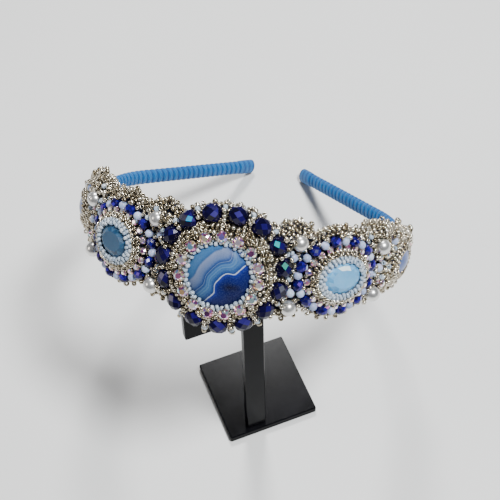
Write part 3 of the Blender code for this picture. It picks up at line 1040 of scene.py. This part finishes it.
slope_rows()
for k in range(NAVY):                 # between the navy beads
    t = radians(NAVY_TURN + 360 / NAVY * (k + 0.5))
    along, across = (-sin(t), cos(t)), (cos(t), sin(t))
    flat = ways(NAVY_RING * cos(t))
    for r, h, size in ((16.2, 4.8, SEED_R), (17.6, 5.2, 0.86), (19.0, 4.6, SEED_R)):
        turn = t + radians(DICE.uniform(-1.0, 1.0))
        seed_at(silver, spot(r * cos(turn), r * sin(turn), h), flat,
                (cos(turn), sin(turn), 0.2), size, squeeze=TIGHT)
    milk = spot(19.9 * cos(t), 19.9 * sin(t), 3.2)
    seed_at(opal, milk, flat, (*along, 0.2), SEED_BIG, squeeze=TIGHT)
    tip = spot(21.1 * cos(t), 21.1 * sin(t), 2.4)
    seed_at(silver, tip, flat, DICE.choice(((*across, 0), (*along, 0), (0.2, -0.3, 1))),
            SEED_BIG, squeeze=TIGHT)
for _ in range(5000):                 # loose seeds where the rows leave a gap
    t, r = DICE.uniform(0, 2 * pi), DICE.uniform(13.4, 16.4)
    height = 6.0 - 0.55 * (r - 13.2) - DICE.uniform(0, 0.8)
    hole = (cos(t) + DICE.gauss(0, 0.6), sin(t) + DICE.gauss(0, 0.6), DICE.uniform(0, 1))
    place = spot(ROSE.s + r * cos(t), ROSE.z + r * sin(t), height)
    seed_at(silver, place, ROSE.ways(), hole, 0.80, squeeze=0.76)
finish_piece("rosette_opal_seeds", opal, OPAL)
finish_piece("rosette_silver_seeds", silver, SILVER)

# %% [markdown]
# ## Side medallions
#
# Each is an oval cut stone of milky glass. Opal seeds zigzag round it, silver rows
# run down the slope, small rainbow stones stand in cups, and cobalt cut beads take
# turns with smaller milky blue ones round the outside.

# %%
# Cut oval stones
SIDE_S, SIDE_Z = 37.6, {-1: -0.3, 1: 0.5}
SIDE_STONE, SIDE_RING, SIDE_PAIRS, BIG_R, SMALL_R = (7.6, 5.7), (14.4, 11.8), 12, 1.8, 1.4
SIDE_NAME = {-1: "left", 1: "right"}
# (half length, half height, h) of the stone's rows, from its back to its table
STONE_ROWS = ((7.6, 5.7, 0.4), (8.35, 6.45, 2.9), (7.35, 5.45, 4.2), (6.2, 4.4, 5.1),
              (4.7, 3.1, 5.75))


def cut_oval(medal, rows, steps=16):
    """Oval cut stone: rows of (half u, half v, h) joined by triangle facets."""
    verts = [medal.place(a * x, b * y, h) for j, (a, b, h) in enumerate(rows)
             for x, y, _ in circle(steps, 1.0, 0.0, 0.5 * (j % 2))]
    faces = []
    for j in range(len(rows) - 1):
        a, b = j * steps, (j + 1) * steps
        for i in range(steps):
            n = (i + 1) % steps
            if j % 2 == 0:
                faces += [(a + i, a + n, b + i), (a + n, b + n, b + i)]
            else:
                faces += [(a + i, a + n, b + n), (a + i, b + n, b + i)]
    faces.append(tuple(range(steps))[::-1])
    faces.append(tuple((len(rows) - 1) * steps + i for i in range(steps)))
    return verts, faces


def milky_stone(name, dark, mid, pale):
    f = Finish(name, IOR=1.5, Specular_IOR_Level=0.2, Subsurface_Weight=0.2, Subsurface_Scale=0.002)
    place = f.object_place()
    cloud = f.noise(place, 170.0, 3.0, 0.5)
    shade = (f.tone() * 0.55 + cloud * 0.45).bounded()
    colour = f.ramp(shade, ((0.0, dark), (0.5, mid), (0.88, pale)))
    # Tones above 0.9 are mixed to near white: a painted reflection of the lamp.
    f.feed(Base_Color=f.mix(((f.tone() - 0.9) * 12.0).bounded(), colour, (0.80, 0.93, 1.0, 1.0)),
           Roughness=0.12 + cloud * 0.12)
    return f.material


# The left stone is the same milky glass as the right; its much darker colours are painted shade.
STONE_FINISH = {
    -1: milky_stone("sky_blue_stone_painted_shade", (0.010, 0.035, 0.085), (0.028, 0.085, 0.17),
                    (0.075, 0.16, 0.27)),
    1: milky_stone("sky_blue_stone", (0.05, 0.22, 0.44), (0.14, 0.40, 0.68),
                   (0.30, 0.60, 0.86))}
# Facets with tone 1 are painted near white: a painted reflection of the lamp on the right stone.
PAINTED_REFLECTION_FACETS = {-1: (), 1: (102, 103, 104, 105)}       # facets that mirror the lamp
TABLE_TONE = 0.62
for side in (-1, 1):
    medal = Medal(side * SIDE_S, SIDE_Z[side])
    heap = Heap()
    verts, faces = cut_oval(medal, STONE_ROWS)
    tones = [DICE.uniform(0.05, 0.85) for _ in faces]
    tones[-1] = TABLE_TONE
    for i in PAINTED_REFLECTION_FACETS[side]:
        tones[i] = 1.0
    heap.add_mesh(verts, faces, tones)
    finish_piece("side_cut_stone_" + SIDE_NAME[side], heap, STONE_FINISH[side],
                 ("side_stone_" + SIDE_NAME[side],), smooth=False)

# %%
# Bezels, small stones and bead rings of the side medallions
def grown(half, d):
    return half[0] + d, half[1] + d


def round_bead(heap, at, frame_ways, hole, r, tone=0.5):
    """A pearl or round glass bead with its hole along (along, up, out)."""
    heap.add(ROUND_BEAD, at, turned(frame_ways @ Vector(hole), frame_ways @ OUT), r, tone)
    CROWD.take(at, r)


for side in (-1, 1):
    tag, medal = SIDE_NAME[side], Medal(side * SIDE_S, SIDE_Z[side])
    core, opal, silver, cups, stones, cobalt, milky = (Heap() for _ in range(7))
    ring_core(core, medal, CORE_SIDE, SIDE_STONE, pale=FELT_ROWS)
    finish_piece("side_bezel_core_" + tag, core, THREAD,
                 ("side_bezel_" + tag,), sharp=60)
    seed_row(opal, medal, grown(SIDE_STONE, 0.05), 4.95, 0.78, 1.5, wave=0.35)
    seed_row(opal, medal, grown(SIDE_STONE, 1.1), 4.55, 0.78, first=0.5, wave=0.25)
    seed_row(silver, medal, grown(SIDE_STONE, 2.3), 4.0, 0.84, mixed=True)
    seed_row(silver, medal, grown(SIDE_STONE, 3.3), 3.0, 0.84, first=0.5, mixed=True)
    ring = grown(SIDE_STONE, 4.5)
    for t in even_angles(*ring, int(oval_length(*ring) / 3.3)):
        set_stone(cups, stones, medal, (ring[0] * cos(t), ring[1] * sin(t), 2.7), 1.15,
                  lean=18.0, bend=0.5)
    start = 0.0 if side < 0 else pi
    pair = 2 * BIG_R + 2 * SMALL_R
    for k in range(SIDE_PAIRS):
        for offset, r in ((0.0, SMALL_R), (SMALL_R + BIG_R, BIG_R)):
            t = start + 2 * pi * (k * pair + offset) / (pair * SIDE_PAIRS)
            u, v = SIDE_RING[0] * cos(t), SIDE_RING[1] * sin(t)
            frame_ways = medal.ways(u, 1.0)
            hole = frame_ways @ Vector((-SIDE_RING[0] * sin(t), SIDE_RING[1] * cos(t), 0))
            at = medal.place(u, v, GAP + BIG_R, 1.0)
            CROWD.take(at, r)
            if r == BIG_R:
                axes = turned(hole, frame_ways @ OUT)
                # Painted highlight: the facets facing out of the medallion, a little up and to the
                # right, get bright tones.
                tones = cut_tones(axes, frame_ways @ Vector((0.1, 0.2, 1)), 0.05, 0.6)
                cobalt.add(CUT_BEAD, at, axes, r * FACET_R, tones)
            else:
                lean = DICE.choice(((0, 0, 0), (0, 0, 0), (0, 0, 1.6)))
                axes = turned(hole.normalized() + frame_ways @ Vector(lean), frame_ways @ OUT)
                milky.add(ROUND_BEAD, at, axes, r, DICE.random())
    finish_piece("side_opal_seeds_" + tag, opal, OPAL)
    finish_piece("side_silver_seeds_" + tag, silver, SILVER)
    finish_piece("side_cups_" + tag, cups, SILVER, sharp=35)
    finish_piece("side_small_stones_" + tag, stones, CRYSTAL, smooth=False)
    finish_piece("side_cobalt_beads_" + tag, cobalt, COBALT_GLASS,
                 ("side_bead_ring_" + tag,), smooth=False)
    finish_piece("side_milky_beads_" + tag, milky, MILKY)

# %% [markdown]
# ## Pearls
#
# Eight grey glass pearls fill the corners between the medallions. Each is drilled,
# so its two holes are dents with a soft rim, and the hole of one faces outward.
# Loose milky blue beads stand beside them.

# %%
# Pearls and the loose blue beads
PEARL_R, LOOSE_R = 2.6, SMALL_R
PEARLS = (("pearl_upper_left", -22.2, 11.3, (0.4, 0.9, 0.1)),
          ("pearl_lower_left", -22.0, -10.6, (0.9, 0.2, 0.1)),
          ("pearl_upper_right", 21.9, 11.3, (0.8, -0.5, 0.1)),
          ("pearl_lower_right", 21.7, -10.2, (0.9, 0.3, 0.1)),
          ("pearl_far_upper_left", -55.0, 9.0, (0.3, 0.5, 0.9)),
          ("pearl_far_lower_left", -53.7, -7.9, (0.9, 0.2, 0.1)),
          ("pearl_far_upper_right", 55.0, 9.6, (0.7, 0.7, 0.1)),
          ("pearl_far_lower_right", 55.0, -6.8, (0.9, -0.1, 0.2)))
pearls = Heap()
for name, s, z, hole in PEARLS:
    round_bead(pearls, spot(s, z, GAP + PEARL_R), ways(s), hole, PEARL_R)
finish_piece("drilled_pearls", pearls, PEARL, tuple(p[0] for p in PEARLS))
loose = Heap()
for s, z, h, hole in ((20.7, 6.3, 2.4, (1, 0, 0.2)), (21.6, -5.4, 2.4, (0.2, 0.4, 1)),
                      (24.6, 3.4, 2.0, (0.6, 0.4, 0.3)), (-20.5, 6.2, 2.4, (0.3, 0.3, 1)),
                      (-20.0, -4.7, 2.4, (1, 0.3, 0)), (-57.5, 1.5, 2.0, (0, 1, 0.4)),
                      (57.0, 1.8, 2.0, (0.2, 0.3, 1)), (-65.0, 10.5, 1.9, (1, 0, 0)),
                      (64.5, 10.2, 1.9, (0, 1, 0.5))):
    round_bead(loose, spot(s, z, h), ways(s), hole, LOOSE_R, DICE.random())
finish_piece("loose_milky_beads", loose, MILKY)

# %% [markdown]
# ## End medallions
#
# The stones near the ends are plain lavender-blue cabochons with a soft cloud in
# them. Four silver rows hold each of them.

# %%
# Lavender cabochons and their bezels
END_S, END_Z, END_STONE = 75.0, 1.5, (6.2, 4.4)


LAVENDER = cloudy("lavender_cabochon", (140.0, 4.0, 0.55), (0.0, 1.0), (
    (0.25, (0.07, 0.11, 0.28)), (0.5, (0.13, 0.18, 0.38)), (0.8, (0.24, 0.30, 0.52))), (0.12, 0.12),
    IOR=1.5, Specular_IOR_Level=0.2, Subsurface_Weight=0.3, Subsurface_Scale=0.002).material
for side in (-1, 1):
    tag, medal = SIDE_NAME[side], Medal(side * END_S, END_Z)
    stone, core, silver = Heap(), Heap(), Heap()
    places = dome(stone, medal, grown(END_STONE, 0.6), GAP, 1.6, 4.8, rings=16, sides=56)
    finish_piece("end_cabochon_" + tag, stone, LAVENDER,
                 ("end_stone_" + tag,), uv=places)
    ring_core(core, medal, CORE_END, END_STONE)
    finish_piece("end_bezel_core_" + tag, core, THREAD,
                 ("end_bezel_" + tag,), sharp=60)
    seed_row(silver, medal, grown(END_STONE, 0.3), 3.5, 0.80, 1.5)
    seed_row(silver, medal, grown(END_STONE, 1.35), 3.0, SEED_R, first=0.5, mixed=True)
    seed_row(silver, medal, grown(END_STONE, 2.4), 2.2, SEED_R, mixed=True)
    seed_row(silver, medal, grown(END_STONE, 3.4), 1.4, SEED_R, first=0.5, bend=0.5, mixed=True)
    finish_piece("end_silver_seeds_" + tag, silver, SILVER)

# %% [markdown]
# ## Small stones and seeds that fill the ground
#
# Between the medallions the beader fills in freely. Here the small stones are
# placed first, at listed places. Then random places are tried, low ones before high ones,
# and a seed is kept wherever the crowd leaves room.

# %%
# Small stones along the band
cups, stones = Heap(), Heap()
FILL_STONES = (                       # (s, z, radius)
    (22.6, 1.5, 1.2), (-22.5, 1.0, 1.2), (-21.8, -2.0, 1.0), (57.5, 5.2, 1.3), (58.6, -3.0, 1.2),
    (61.5, 5.6, 1.5), (62.0, -4.4, 1.5), (-58.0, 5.5, 1.3), (-59.2, -3.0, 1.2),
    (-62.0, 6.5, 1.4), (-61.6, -4.6, 1.3), (66.0, 10.2, 1.5), (70.5, 9.3, 1.5), (84.6, 6.0, 1.6),
    (87.6, 2.6, 1.6), (86.0, -1.4, 1.4), (-66.5, 9.8, 1.4), (-85.0, 6.0, 1.4), (-88.0, 2.4, 1.5),
    (-86.0, -1.6, 1.4), (92.5, 4.6, 1.3), (-92.5, 4.6, 1.3), (98.0, 3.6, 1.3), (-98.0, 3.6, 1.3))
STONE_LIFT = 0.4
for s, z, r in FILL_STONES:
    place = (s, z, STONE_LIFT + r)
    if CROWD.free(BAND.place(*place), r, 0.7):
        set_stone(cups, stones, BAND, place, r, lean=DICE.uniform(0, 14), bend=1.0)
finish_piece("band_cups", cups, SILVER, sharp=35)
finish_piece("band_small_stones", stones, CRYSTAL, smooth=False)


# %%
# Filling seeds
THIN_FROM = 84.0         # from here to the ends the beadwork is one layer thin
LOWEST, HIGHEST = -17.0, 19.0
ROW_STEP = 0.87          # rows of a net, as a part of the step along them
BLOCKED = [(ROSE.s, ROSE.z, 13.4, 13.4)]        # ovals (s, z, half length, half height)
BLOCKED += [(side * SIDE_S, SIDE_Z[side], 11.2, 9.3) for side in (-1, 1)]
BLOCKED += [(side * END_S, END_Z, 9.6, 7.8) for side in (-1, 1)]


def fill(heaps, places, low, high, squeeze, margin=0.7, milk=0.06):
    """Adds a seed at each place (s, z) that is on the band, not on a medallion, and free."""
    kept = 0
    for s, z in places:
        bottom, top = edge(s)
        if not bottom + margin < z < top - margin:
            continue
        if any(((s - cs) / a) ** 2 + ((z - cz) / b) ** 2 < 1 for cs, cz, a, b in BLOCKED):
            continue
        r = DICE.choice((0.80, SEED_R, SEED_R, SEED_BIG))
        hole = DICE.choice(((1, 0, 0), (0, 1, 0), (1, 1, 0), (1, -1, 0.3), (0.2, 0.2, 1),
                            (0.3, -0.2, 1)))
        place = spot(s, z, DICE.uniform(low, high) - 0.35 * (abs(s) > THIN_FROM))
        heap = heaps[DICE.random() < milk]
        kept += seed_at(heap, place, ways(s), hole, r, squeeze=squeeze)
    return kept


def net(first, last, step):
    """Places in staggered rows, a little loose."""
    rise = ROW_STEP * step
    return [(first + (i + 0.5 * (j % 2)) * step + DICE.gauss(0, 0.12),
             LOWEST + rise * j + DICE.gauss(0, 0.12))
            for j in range(int((HIGHEST - LOWEST) / rise)) for i in range(int((last - first) / step))]


def chance(first, last, count):
    return [(DICE.uniform(first, last), DICE.uniform(LOWEST, HIGHEST)) for _ in range(count)]


def along_edge(first, last, inset):
    return [(s, z) for s, z, ns, nz in outline(1.62, inset) if first <= s < last]


for tag, first, last in (("left", -106.0, -20.0), ("middle", -20.0, 20.0), ("right", 20.0, 106.0)):
    silver, opal = heaps = (Heap(), Heap())
    kept = [fill(heaps, along_edge(first, last, 0.95), 0.8, 1.0, 0.84, margin=0.3, milk=0.0),
            fill(heaps, along_edge(first, last, 2.3), 1.3, 1.7, 0.86, margin=0.3, milk=0.0),
            fill(heaps, net(first, last, 1.62), 0.8, 0.95, 0.90)]
    if tag == "middle":
        kept.append(fill(heaps, chance(first, last, 9000), 3.4, 5.2, 0.90, margin=2.5))
    first, last = max(first, -THIN_FROM), min(last, THIN_FROM)
    kept += [fill(heaps, net(first, last, 1.75), 2.1, 2.4, 0.92, margin=1.3),
             fill(heaps, chance(first, last, 8000), 0.8, 2.6, 0.88, margin=1.0)]
    print(tag, "seeds", kept)
    finish_piece("fill_silver_seeds_" + tag, silver, SILVER)
    finish_piece("fill_opal_seeds_" + tag, opal, OPAL)

# %% [markdown]
# ## The beaded edge
#
# The edge is closed with picots: seeds sewn over the rim, with one more standing on
# every second gap. A few small loops of five seeds stand up from the top edge. They
# give the outline its lacy, bumpy look.

# %%
# Picots and loops along the edge
RIM_ROWS = ((0.45, 0.55), (0.50, -1.0), (0.45, -2.2))     # (past the edge, h)
THIN_OUT, THIN_DOWN = 0.15, 0.3
edging = Heap()
for i, (s, z, ns, nz) in enumerate(RIM):
    thin = abs(s) >= THIN_FROM
    for out, h in RIM_ROWS:
        out, h = (THIN_OUT, h - THIN_DOWN) if thin else (out, h)
        seed_at(edging, spot(s + out * ns, z + out * nz, h), ways(s), (ns, nz, 0.2), SEED_R,
                check=False)
    if i % 2 == 0 and i + 1 < len(RIM) and abs(RIM[i + 1][0] - s) < 4:
        s, z = (s + RIM[i + 1][0]) / 2, (z + RIM[i + 1][1]) / 2
        hole = DICE.choice(((-nz, ns, 0.2), (-nz, ns, 0.9), (ns * 0.3, nz * 0.3, 1)))
        stand = 1.65 if abs(s) < THIN_FROM else 0.9
        place = spot(s + stand * ns, z + stand * nz, DICE.uniform(0.1, 0.9))
        seed_at(edging, place, ways(s), hole, DICE.choice((SEED_R, 0.86, SEED_BIG)), squeeze=0.6)
LOOPS = ((-57.5, 17.6), (-52.0, 18.8), (-33.0, 17.0), (46.0, 17.0), (62.5, 14.6), (66.5, 15.6))
LOOP_R = 1.35
for s, z in LOOPS:
    for k in range(5):
        t = radians(-35 + 62.5 * k)
        place = spot(s + LOOP_R * cos(t), z + LOOP_R * sin(t), 0.6 + 0.3 * (k % 2))
        seed_at(edging, place, ways(s), DICE.choice(((-sin(t), cos(t), 0.1), (0.3, 0.2, 1))),
                0.86, squeeze=0.5)
finish_piece("picot_edge", edging, SILVER)

# %% [markdown]
# ## The stitches on the back
#
# From behind, the leather shows the thread that whips the two layers together.

# %%
# Whip stitches over the edge
def strand(heap, points, r=0.14, sides=6):
    """A thread through the given points."""
    verts = []
    for i, p in enumerate(points):
        before, after = points[max(i - 1, 0)], points[min(i + 1, len(points) - 1)]
        axes = turned(after - before, (0.3, 0.2, 1))
        verts += [p + axes @ Vector(c) for c in circle(sides, r, 0.0)]
    heap.add_mesh(verts, skin(len(points), sides), 0.0)


# (towards the edge, along it, h) of a stitch's points, from the back round the edge
STITCH = ((-1.9, 0.35, -2.42), (-0.9, 0.0, -2.52), (0.02, 0.0, -2.42), (0.12, 0.0, -1.6))
thread = Heap()
for s, z, ns, nz in RIM:
    strand(thread, [spot(s + out * ns - slant * nz, z + out * nz + slant * ns, h)
                    for out, slant, h in STITCH])
finish_piece("whip_stitches", thread, THREAD)

# %% [markdown]
# ## Floor, light and camera
#
# A plain pale floor and soft lights: a large key from the upper right, a weak warm
# fill from the left and a rim light from behind. The camera looks down at about 54
# degrees with a long lens, as the photograph was taken.

# %%
# Floor
FLOOR = cloudy("pale_floor", (6.0, 3.0), (0.0, 1.0), (
    (0.3, (0.74, 0.74, 0.73)), (0.7, (0.78, 0.78, 0.77))), (0.55, 0.1)).material
REACH = 3.0
sheet = bpy.data.meshes.new("floor")
sheet.from_pydata([(-REACH, -REACH, 0), (REACH, -REACH, 0), (REACH, REACH, 0), (-REACH, REACH, 0)],
                  [], [(0, 1, 2, 3)])
sheet.materials.append(FLOOR)
floor = bpy.data.objects.new("floor", sheet)
bpy.context.scene.collection.objects.link(floor)


# %%
# Lights and camera
def area_light(name, at, target, size, watts, colour=(1, 1, 1)):
    lamp = bpy.data.lights.new(name, "AREA")
    lamp.shape, lamp.size, lamp.energy, lamp.color = "DISK", size, watts, colour
    obj = bpy.data.objects.new(name, lamp)
    obj.location = at
    obj.rotation_euler = (Vector(target) - Vector(at)).to_track_quat("-Z", "Y").to_euler()
    bpy.context.scene.collection.objects.link(obj)


MIDDLE = (0.0, 0.0, 0.08)
area_light("key", (0.36, -0.14, 1.04), MIDDLE, 0.26, 18.0, (0.97, 0.99, 1.0))
area_light("fill", (-0.80, -0.30, 0.55), MIDDLE, 0.40, 2.0, (1.0, 0.93, 0.84))
area_light("back", (-0.10, 0.60, 0.80), MIDDLE, 0.22, 8.0)
world = bpy.data.worlds.new("studio")
world.use_nodes = True
glow = world.node_tree.nodes["Background"].inputs
glow["Color"].default_value, glow["Strength"].default_value = (0.86, 0.90, 1.0, 1.0), 0.13
bpy.context.scene.world = world

SENSOR, FRAME_WIDE, FOCAL_PIXELS = 36.0, 500, 1268.483
camera_data = bpy.data.cameras.new("camera")
camera_data.lens, camera_data.sensor_width = FOCAL_PIXELS / FRAME_WIDE * SENSOR, SENSOR
camera_data.clip_start, camera_data.clip_end = 0.01, 20.0
camera = bpy.data.objects.new("camera", camera_data)
EYE = Vector((39.971, -243.422, 431.758))      # millimetres
RIGHT = Vector((0.99012573, 0.13878074, -0.01977232))
UP = Vector((-0.10076142, 0.80263681, 0.58789564))
camera.matrix_world = Matrix.Translation(EYE * MM) \
    @ Matrix((RIGHT, UP, RIGHT.cross(UP))).transposed().to_4x4()
bpy.context.scene.collection.objects.link(camera)
bpy.context.scene.camera = camera
